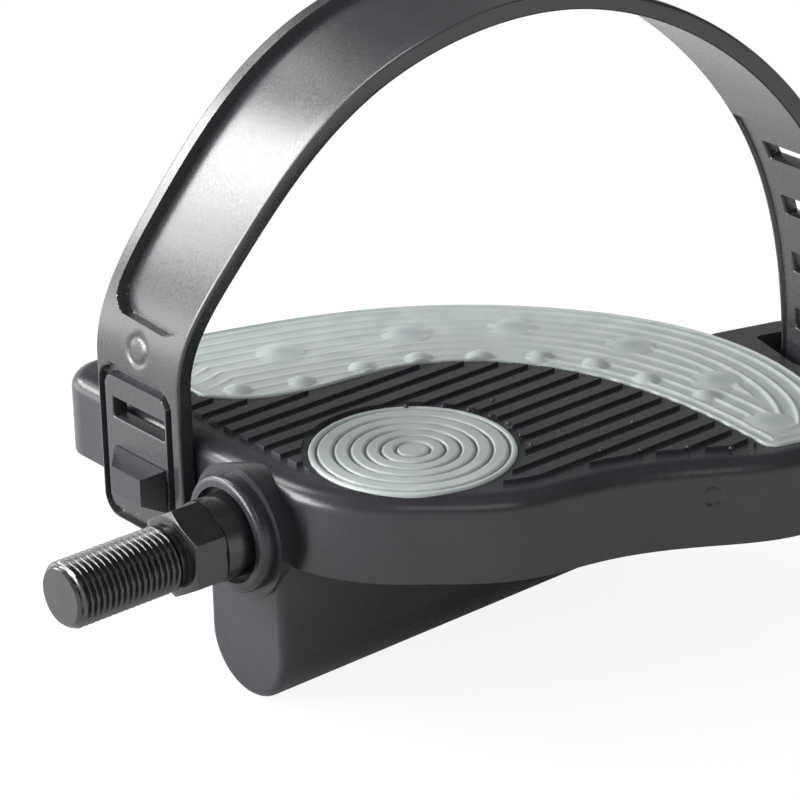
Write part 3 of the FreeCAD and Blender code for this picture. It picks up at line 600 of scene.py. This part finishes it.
def make_round_pad(material):
    """The round pad, turned about its middle from a profile with grooves."""
    low, high = (np.array(corner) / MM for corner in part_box("round_grip_pad"))
    center = (low + high) / 2
    radius = (high[0] - low[0]) / 2
    reach = np.linspace(0.0, radius, ROUND_PAD_STEPS)
    height = high[2] - ROUND_PAD_CROWN * (1 - reach / radius)
    for groove in ROUND_PAD_GROOVES:
        height -= ROUND_PAD_GROOVE_DEPTH * np.exp(-((reach - groove) / ROUND_PAD_GROOVE_WIDTH) ** 2)
    height -= rounding(radius - reach, ROUND_PAD_RIM / 2)
    profile = list(zip(reach, height)) + [(radius, low[2]), (0.0, low[2])]
    turns = np.linspace(0.0, 2 * math.pi, ROUND_PAD_TURNS)
    points = [(center[0] + out * math.cos(turn), center[1] + out * math.sin(turn), z)
              for out, z in profile for turn in turns]
    faces = grid_faces(len(profile), ROUND_PAD_TURNS)
    return mesh_object("round_grip_pad_rings", points, faces, material)


def underside_loop(node):
    """Corner points, in order, round the flat underside of a CAD node, in millimetres."""
    mesh = node.data
    spots = [tuple(round(value / MM, POINT_DECIMALS) for value in vertex.co)
             for vertex in mesh.vertices]
    low = min(spot[2] for spot in spots)
    faces = [tuple(spots[corner][:2] for corner in face.vertices) for face in mesh.polygons
             if all(spots[corner][2] - low < PLANE_SPARE for corner in face.vertices)]
    follow = dict(open_edges(faces))
    loop = [next(iter(follow))]
    while follow[loop[-1]] != loop[0]:
        loop.append(follow[loop[-1]])
    return np.array(loop)


def even_points(path, count):
    """Points spread evenly along a path."""
    steps = np.linalg.norm(np.diff(path, axis=0), axis=1)
    lengths = np.concatenate([[0.0], np.cumsum(steps)])
    wanted = np.linspace(0.0, lengths[-1], count)
    return np.stack([np.interp(wanted, lengths, path[:, axis]) for axis in (0, 1)], axis=1)


def distance_to_edges(points, edges):
    """Distance from each point to the nearest of some straight edges."""
    nearest = np.full(len(points), np.inf)
    for start, end in edges:
        run = end - start
        share = np.clip((points - start) @ run / (run @ run), 0.0, 1.0)
        gap = np.linalg.norm(points - start - share[:, None] * run, axis=1)
        nearest = np.minimum(nearest, gap)
    return nearest


def ridge_shape(distance):
    """Share of a ridge's full height at a distance from the edge that the ridges follow."""
    from_ridge = np.mod(distance - TOE_PAD_BORDER, TOE_RIDGE_PITCH) - TOE_RIDGE_PITCH / 2
    return np.exp(-(from_ridge / TOE_RIDGE_WIDTH) ** 2)


def toe_pad_height(plan, loop, outer_side, top):
    """Height of the toe pad's top: border, ridges, domes and low bosses.

    The ridges are lower and follow the outer side in the inboard half, where they fade out at the
    end. Towards the heel tip they follow the whole edge and loop round.
    """
    edge = distance_to_edges(plan, zip(loop, np.roll(loop, -1, axis=0)))
    outer_edges = [(start, end) for start, end in zip(outer_side, outer_side[1:])
                   if max(start[0], end[0]) > TOE_PAD_INBOARD_END]
    from_outer = distance_to_edges(plan, outer_edges)
    border = TOE_PAD_BASE_DROP * smooth_step((TOE_PAD_BORDER - edge) / TOE_RIDGE_WIDTH)
    looped = smooth_step((plan[:, 0] - TOE_LOOP_FROM) / (TOE_LOOP_TO - TOE_LOOP_FROM))
    ridges = ridge_shape(from_outer) * (1 - looped) + ridge_shape(edge) * looped
    ridges *= TOE_LOW_RIDGE_HEIGHT + (TOE_RIDGE_HEIGHT - TOE_LOW_RIDGE_HEIGHT) * looped
    ridges *= smooth_step((edge - TOE_PAD_BORDER / 2) / TOE_PAD_BORDER)
    ridges *= smooth_step((plan[:, 0] - TOE_PAD_INBOARD_END) / TOE_INBOARD_FADE)
    bosses = np.zeros(len(plan))
    for places, radius, rise in ((SMALL_DOMES, SMALL_DOME_RADIUS, SMALL_DOME_HEIGHT),
                                 (LOW_BOSSES, LOW_BOSS_RADIUS, LOW_BOSS_HEIGHT)):
        for place in places:
            share = np.linalg.norm(plan - np.array(place), axis=1) / radius
            ridges *= smooth_step((share - 1 + BOSS_FADE) / BOSS_FADE)
            bosses = np.maximum(bosses, rise * np.clip(1 - share ** 2, 0.0, 1.0))
    return top - TOE_PAD_BASE_DROP + border + ridges + bosses - rounding(edge, TOE_PAD_BORDER / 2)


def make_toe_pad(node, material):
    """The toe pad as a grid between its two long sides, over the CAD node's outline."""
    low, high = (np.array(corner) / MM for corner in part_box("toe_grip_pad"))
    loop = underside_loop(node)
    first, last = (int(np.argmin(np.linalg.norm(loop - np.array(end), axis=1)))
                   for end in TOE_PAD_ENDS)
    loop = np.roll(loop, -first, axis=0)
    last = (last - first) % len(loop)
    sides = [loop[:last + 1], np.concatenate([loop[last:], loop[:1]])[::-1]]
    outer_side = max(sides, key=lambda side: side.sum(axis=1).mean())
    one_side, other_side = (even_points(side, TOE_PAD_COLUMNS) for side in sides)
    even = np.linspace(0.0, 1.0, TOE_PAD_ROWS)
    near_edges = (1 - np.cos(np.linspace(0.0, math.pi, TOE_PAD_ROWS))) / 2
    shares = TOE_PAD_EDGE_SHARE * near_edges + (1 - TOE_PAD_EDGE_SHARE) * even
    plan = np.concatenate([one_side * (1 - share) + other_side * share for share in shares])
    top = np.column_stack([plan, toe_pad_height(plan, loop, outer_side, high[2])])
    floor = np.column_stack([plan, np.full(len(plan), low[2])])
    count = len(plan)
    rim = list(range(TOE_PAD_COLUMNS))
    rim += [count - 1 - column for column in range(TOE_PAD_COLUMNS)]
    faces = grid_faces(TOE_PAD_ROWS, TOE_PAD_COLUMNS)
    faces += [(start, end, end + count, start + count) for start, end in zip(rim, rim[1:] + rim[:1])]
    faces.append(tuple(corner + count for corner in rim))
    return mesh_object("toe_grip_pad_ridges", np.concatenate([top, floor]), faces, material)


# Deck


def make_pips(material):
    """Small pips that ride on the deck."""
    shape = bmesh.new()
    for x, y in BAR_PIPS:
        place = Matrix.Translation((x * MM, y * MM, BAR_TOP_Z * MM))
        bmesh.ops.create_icosphere(shape, subdivisions=BAR_PIP_SUBDIVISIONS,
                                   radius=BAR_PIP_RADIUS * MM, matrix=place)
    mesh = bpy.data.meshes.new("deck_pips")
    shape.to_mesh(mesh)
    shape.free()
    item = linked("deck_pips", mesh, material)
    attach(item, "pedal")


# Spindle


def make_spindle(node, material):
    """The CAD spindle with its plain crank cylinder cut as a thread."""
    mesh = node.data
    spots = np.array([vertex.co for vertex in mesh.vertices]) / MM
    kept = [tuple(face.vertices) for face in mesh.polygons
            if min(spots[corner][0] for corner in face.vertices) > THREAD_END - PLANE_SPARE]

    step = THREAD_PITCH / THREAD_STEPS_PER_TURN
    places = np.arange(THREAD_START, THREAD_END, step)
    turns = np.linspace(0.0, 2 * math.pi, THREAD_TURN_STEPS)
    along, turn = np.meshgrid(places, turns, indexing="ij")
    wave = np.abs(np.mod(along / THREAD_PITCH - turn / (2 * math.pi), 1.0) - 0.5) * 2
    cut = THREAD_DEPTH * np.clip(THREAD_FLANK_SLOPE * wave - THREAD_CREST_SHARE, 0.0, 1.0)
    past_tip = np.minimum((along - THREAD_START) / THREAD_TIP_LENGTH, 1.0)
    tip = THREAD_TIP_RADIUS + (THREAD_CREST_RADIUS - THREAD_TIP_RADIUS) * past_tip
    reach = np.minimum(THREAD_CREST_RADIUS - cut, tip)
    thread = np.stack([along, reach * np.cos(turn), reach * np.sin(turn)], axis=-1).reshape(-1, 3)

    count = len(spots)
    faces = kept + grid_faces(len(places), THREAD_TURN_STEPS, count)
    for row in (0, len(places) - 1):
        first = count + row * THREAD_TURN_STEPS
        faces.append(tuple(first + column for column in range(THREAD_TURN_STEPS - 1)))
    return mesh_object("spindle_threaded", np.concatenate([spots, thread]), faces, material)


# Materials


def noise(nodes, links, size, detail):
    """Noise with lumps of a size in millimetres."""
    place = nodes.new("ShaderNodeTexCoord")
    texture = nodes.new("ShaderNodeTexNoise")
    texture.inputs["Scale"].default_value = 1 / (size * MM)
    texture.inputs["Detail"].default_value = detail
    links.new(place.outputs["Object"], texture.inputs["Vector"])
    return texture.outputs["Fac"]


def between(nodes, links, source, low, high):
    """Value that follows a texture from low to high."""
    reach = nodes.new("ShaderNodeMapRange")
    reach.inputs["From Min"].default_value = TEXTURE_LOW
    reach.inputs["From Max"].default_value = TEXTURE_HIGH
    reach.inputs["To Min"].default_value = low
    reach.inputs["To Max"].default_value = high
    links.new(source, reach.inputs["Value"])
    return reach.outputs["Result"]


def by_distance(nodes, links, place, near, far, at_near, at_far):
    """Value that changes smoothly between two distances from a place, in millimetres."""
    spot = nodes.new("ShaderNodeTexCoord")
    distance = nodes.new("ShaderNodeVectorMath")
    distance.operation = "DISTANCE"
    distance.inputs[1].default_value = [value * MM for value in place]
    links.new(spot.outputs["Object"], distance.inputs[0])
    reach = nodes.new("ShaderNodeMapRange")
    reach.interpolation_type = "SMOOTHSTEP"
    reach.inputs["From Min"].default_value = near * MM
    reach.inputs["From Max"].default_value = far * MM
    reach.inputs["To Min"].default_value = at_near
    reach.inputs["To Max"].default_value = at_far
    links.new(distance.outputs["Value"], reach.inputs["Value"])
    return reach.outputs["Result"]


def dented(nodes, links, normal, marks):
    """Normal with round dents pressed into it; places, radii and depths are in millimetres."""
    for place, radius, depth in marks:
        height = by_distance(nodes, links, place, radius / 2, radius, 0.0, 1.0)
        bump = nodes.new("ShaderNodeBump")
        bump.inputs["Distance"].default_value = depth * MM
        links.new(height, bump.inputs["Height"])
        links.new(normal, bump.inputs["Normal"])
        normal = bump.outputs["Normal"]
    return normal


def painted_groove_shade(nodes, links, color, darkest):
    """Colour with painted shade that darkens it in narrow grooves."""
    open_share = nodes.new("ShaderNodeAmbientOcclusion")
    open_share.samples = GROOVE_SHADE_SAMPLES
    open_share.inputs["Distance"].default_value = GROOVE_SHADE_REACH * MM
    shade = between(nodes, links, open_share.outputs["AO"], darkest, 1.0)
    mix = nodes.new("ShaderNodeVectorMath")
    mix.operation = "SCALE"
    links.new(color, mix.inputs[0])
    links.new(shade, mix.inputs["Scale"])
    return mix.outputs["Vector"]


def pegs_showing(nodes, links, color):
    """Colour with darker spots on the low bosses, as if pegs below them showed faintly through."""
    for x, y in LOW_BOSSES:
        share = by_distance(nodes, links, (x, y, PEG_TOP_Z), 0.0, PEG_RADIUS, PEG_TINT_SHARE, 0.0)
        mix = nodes.new("ShaderNodeMix")
        mix.data_type = "RGBA"
        mix.inputs["B"].default_value = PEG_TINT
        links.new(share, mix.inputs["Factor"])
        links.new(color, mix.inputs["A"])
        color = mix.outputs["Result"]
    return color


def moulded(name, dark, light, rough, patch_size, grain_size, grain_depth,
            marks=(), groove_shade=1.0, pegs=False, **settings):
    """Material whose colour and gloss drift in patches, with a fine grain; sizes in millimetres.

    The settings are the shader's own, with _ for the spaces in their names.
    """
    material = bpy.data.materials.new(name)
    material.use_nodes = True
    nodes = material.node_tree.nodes
    links = material.node_tree.links
    shader = nodes["Principled BSDF"]
    for socket, value in settings.items():
        shader.inputs[socket.replace("_", " ")].default_value = value

    tint = nodes.new("ShaderNodeValToRGB")
    stops = ((TEXTURE_LOW, dark), (TEXTURE_HIGH, light))
    for stop, (position, shade) in zip(tint.color_ramp.elements, stops):
        stop.position = position
        stop.color = (*shade, 1.0)
    links.new(noise(nodes, links, patch_size, PATCH_DETAIL), tint.inputs["Fac"])
    color = tint.outputs["Color"]
    if pegs:
        color = pegs_showing(nodes, links, color)
    # Painted shade: the colour darkens in the grooves
    if groove_shade < 1.0:
        color = painted_groove_shade(nodes, links, color, groove_shade)
    links.new(color, shader.inputs["Base Color"])

    grain = noise(nodes, links, grain_size, GRAIN_DETAIL)
    links.new(between(nodes, links, grain, *rough), shader.inputs["Roughness"])
    bump = nodes.new("ShaderNodeBump")
    bump.inputs["Strength"].default_value = GRAIN_STRENGTH
    bump.inputs["Distance"].default_value = grain_depth * MM
    links.new(grain, bump.inputs["Height"])
    links.new(dented(nodes, links, bump.outputs["Normal"], marks), shader.inputs["Normal"])
    return material


def make_materials():
    """Materials by the record's slot names."""
    return {
        "black_plastic": moulded(
            "black_plastic_satin", dark=(0.028, 0.0268, 0.032), light=(0.037, 0.0355, 0.042),
            rough=(0.24, 0.32), patch_size=12.0, grain_size=0.35, grain_depth=0.007,
            marks=MOULD_MARKS, Specular_IOR_Level=0.5),
        "strap_plastic": moulded(
            "strap_plastic_satin", dark=(0.026, 0.0255, 0.029), light=(0.034, 0.033, 0.038),
            rough=(0.24, 0.32), patch_size=9.0, grain_size=0.5, grain_depth=0.004,
            Specular_IOR_Level=0.75),
        # The grip rubber gets painted shade in its grooves
        "grip_rubber": moulded(
            "grip_rubber_grey", dark=(0.44, 0.485, 0.475), light=(0.52, 0.565, 0.553),
            rough=(0.28, 0.4), patch_size=6.0, grain_size=0.4, grain_depth=0.015,
            groove_shade=0.35, pegs=True),
        "black_steel": moulded(
            "black_oxide_steel", dark=(0.024, 0.0235, 0.026), light=(0.036, 0.035, 0.038),
            rough=(0.16, 0.27), patch_size=3.0, grain_size=0.25, grain_depth=0.006,
            Metallic=0.2, Specular_IOR_Level=0.9),
        "bearing_steel": moulded(
            "ground_steel", dark=(0.5, 0.5, 0.51), light=(0.58, 0.58, 0.59),
            rough=(0.18, 0.3), patch_size=3.0, grain_size=0.2, grain_depth=0.004,
            Metallic=1.0),
        "seal_rubber": moulded(
            "seal_rubber_black", dark=(0.014, 0.014, 0.014), light=(0.024, 0.024, 0.024),
            rough=(0.55, 0.7), patch_size=3.0, grain_size=0.3, grain_depth=0.015),
        "weight_iron": moulded(
            "sawn_iron", dark=(0.12, 0.115, 0.11), light=(0.2, 0.19, 0.18),
            rough=(0.45, 0.65), patch_size=2.5, grain_size=0.3, grain_depth=0.03,
            Metallic=0.8),
        "screw_steel": moulded(
            "zinc_plated_steel", dark=(0.45, 0.45, 0.45), light=(0.56, 0.56, 0.54),
            rough=(0.25, 0.4), patch_size=2.0, grain_size=0.2, grain_depth=0.006,
            Metallic=1.0),
    }


# Studio


def combined(nodes, links, operation, one, other):
    """Two values put together by a sum, product or other operation."""
    result = nodes.new("ShaderNodeMath")
    result.operation = operation
    links.new(one, result.inputs[0])
    links.new(other, result.inputs[1])
    return result.outputs["Value"]


def shows_background(nodes, links):
    """1 on rays that show the background: those to the camera, in reflections and through glass."""
    rays = nodes.new("ShaderNodeLightPath")
    seen = rays.outputs["Is Camera Ray"]
    for kind in ("Is Glossy Ray", "Is Transmission Ray"):
        seen = combined(nodes, links, "MAXIMUM", seen, rays.outputs[kind])
    return seen


def painted_shade_in_reflections(nodes, links):
    """Painted shade on the floor's glow: below 1 where a reflection shows floor that the part closes
    in, and 1 to the camera.
    """
    rays = nodes.new("ShaderNodeLightPath")
    open_share = nodes.new("ShaderNodeAmbientOcclusion")
    open_share.samples = FLOOR_SHADE_SAMPLES
    open_share.inputs["Distance"].default_value = FLOOR_SHADE_REACH * MM
    return combined(nodes, links, "MAXIMUM", rays.outputs["Is Camera Ray"], open_share.outputs["AO"])


def world_light():
    """White to the camera, with a dim ceiling in reflections, and a softer light on everything else."""
    world = bpy.data.worlds.new("studio")
    bpy.context.scene.world = world
    world.use_nodes = True
    nodes = world.node_tree.nodes
    links = world.node_tree.links
    ambient = nodes["Background"]
    ambient.inputs["Color"].default_value = WHITE
    ambient.inputs["Strength"].default_value = AMBIENT_LEVEL

    way = nodes.new("ShaderNodeTexCoord")
    split = nodes.new("ShaderNodeSeparateXYZ")
    links.new(way.outputs["Generated"], split.inputs["Vector"])
    ceiling = nodes.new("ShaderNodeMapRange")
    ceiling.inputs["From Min"].default_value = WALL_TOP_RISE
    ceiling.inputs["From Max"].default_value = CEILING_RISE
    ceiling.inputs["To Min"].default_value = 1.0
    ceiling.inputs["To Max"].default_value = CEILING_LEVEL
    links.new(split.outputs["Z"], ceiling.inputs["Value"])
    rays = nodes.new("ShaderNodeLightPath")
    backdrop = nodes.new("ShaderNodeBackground")
    backdrop.inputs["Color"].default_value = WHITE
    level = combined(nodes, links, "MAXIMUM", rays.outputs["Is Camera Ray"], ceiling.outputs["Result"])
    links.new(level, backdrop.inputs["Strength"])

    mix = nodes.new("ShaderNodeMixShader")
    links.new(shows_background(nodes, links), mix.inputs["Fac"])
    links.new(ambient.outputs["Background"], mix.inputs[1])
    links.new(backdrop.outputs["Background"], mix.inputs[2])
    links.new(mix.outputs["Shader"], nodes["World Output"].inputs["Surface"])


def softbox(name, direction, distance, width, height, radiance):
    """Rectangular lamp aimed at the part; radiance is how bright it looks, with white paper at 1."""
    lamp = bpy.data.lights.new(name, "AREA")
    lamp.shape = "RECTANGLE"
    lamp.size = width * MM
    lamp.size_y = height * MM
    lamp.energy = radiance * math.pi * lamp.size * lamp.size_y
    item = bpy.data.objects.new(name, lamp)
    bpy.context.collection.objects.link(item)
    way = np.array(direction, float)
    way /= np.linalg.norm(way)
    right = np.cross((0.0, 0.0, 1.0), way)
    right /= np.linalg.norm(right)
    place = np.array(LAMP_TARGET) + way * distance
    item.matrix_world = placed(right, np.cross(way, right), way, place)


def placed(right, up, back, place):
    """Matrix of a lamp or camera from its three directions and its place in millimetres."""
    rows = [[right[axis], up[axis], back[axis], place[axis] * MM] for axis in range(3)]
    return Matrix(rows + [[0, 0, 0, 1]])


def make_camera():
    """The camera, turned about the hub's face and then moved along its own axes."""
    azimuth = math.radians(CAMERA_AZIMUTH)
    elevation = math.radians(CAMERA_ELEVATION)
    roll = math.radians(CAMERA_ROLL)
    back = np.array([
        math.sin(azimuth) * math.cos(elevation),
        -math.cos(azimuth) * math.cos(elevation),
        math.sin(elevation),
    ])
    level = np.array([math.cos(azimuth), math.sin(azimuth), 0.0])
    upright = np.cross(back, level)
    right = level * math.cos(roll) + upright * math.sin(roll)
    up = upright * math.cos(roll) - level * math.sin(roll)
    place = np.array([HUB_FACE_X, 0.0, 0.0])
    for amount, way in zip(CAMERA_OFFSET, (right, up, back)):
        place = place + amount * way
    lens = bpy.data.cameras.new("camera")
    lens.lens = CAMERA_LENS
    lens.clip_start, lens.clip_end = CAMERA_CLIP_METRES
    camera = bpy.data.objects.new("camera", lens)
    bpy.context.collection.objects.link(camera)
    camera.matrix_world = placed(right, up, back, place)
    bpy.context.scene.camera = camera


def make_floor(height):
    """Floor that takes the part's shadow and looks white to the camera."""
    half = FLOOR_HALF_SIZE
    corners = [(-half, -half), (half, -half), (half, half), (-half, half)]
    points = [(x, y, height) for x, y in corners]
    material = bpy.data.materials.new("floor_white")
    material.use_nodes = True
    nodes = material.node_tree.nodes
    links = material.node_tree.links
    shader = nodes["Principled BSDF"]
    shader.inputs["Base Color"].default_value = FLOOR_COLOR
    shader.inputs["Roughness"].default_value = FLOOR_ROUGHNESS
    shader.inputs["Emission Color"].default_value = WHITE
    glow = nodes.new("ShaderNodeMath")
    glow.operation = "MULTIPLY"
    glow.inputs[1].default_value = FLOOR_GLOW
    seen = shows_background(nodes, links)
    # Painted shade: the floor's glow is darker in reflections of the floor near the part
    shade = painted_shade_in_reflections(nodes, links)
    links.new(combined(nodes, links, "MULTIPLY", seen, shade), glow.inputs[0])
    links.new(glow.outputs["Value"], shader.inputs["Emission Strength"])
    floor = mesh_object("floor", points, [(0, 1, 2, 3)], material)


# Scene

for leftover in list(bpy.data.objects):
    bpy.data.objects.remove(leftover)

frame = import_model()
cad_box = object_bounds()
bpy.context.scene.view_settings.view_transform = "Standard"

materials = make_materials()
slots = {part["node"]: part["material_slot"] for part in frame["record"]["subparts"]}
for name, node in frame["nodes"].items():
    node.data.materials.clear()
    node.data.materials.append(materials[slots[name]])

stand_in(make_strap(materials["strap_plastic"]), "strap", "pedal")
stand_in(make_round_pad(materials["grip_rubber"]), "round_grip_pad", "pedal")
toe_pad = make_toe_pad(frame["nodes"]["toe_grip_pad"], materials["grip_rubber"])
stand_in(toe_pad, "toe_grip_pad", "pedal")
spindle = make_spindle(frame["nodes"]["spindle"], materials["black_steel"])
stand_in(spindle, "spindle", "spindle")
make_pips(materials["black_plastic"])

make_camera()
make_floor(cad_box[0].z / MM - FLOOR_GAP)
world_light()
for lamp_values in LAMPS:
    softbox(*lamp_values)
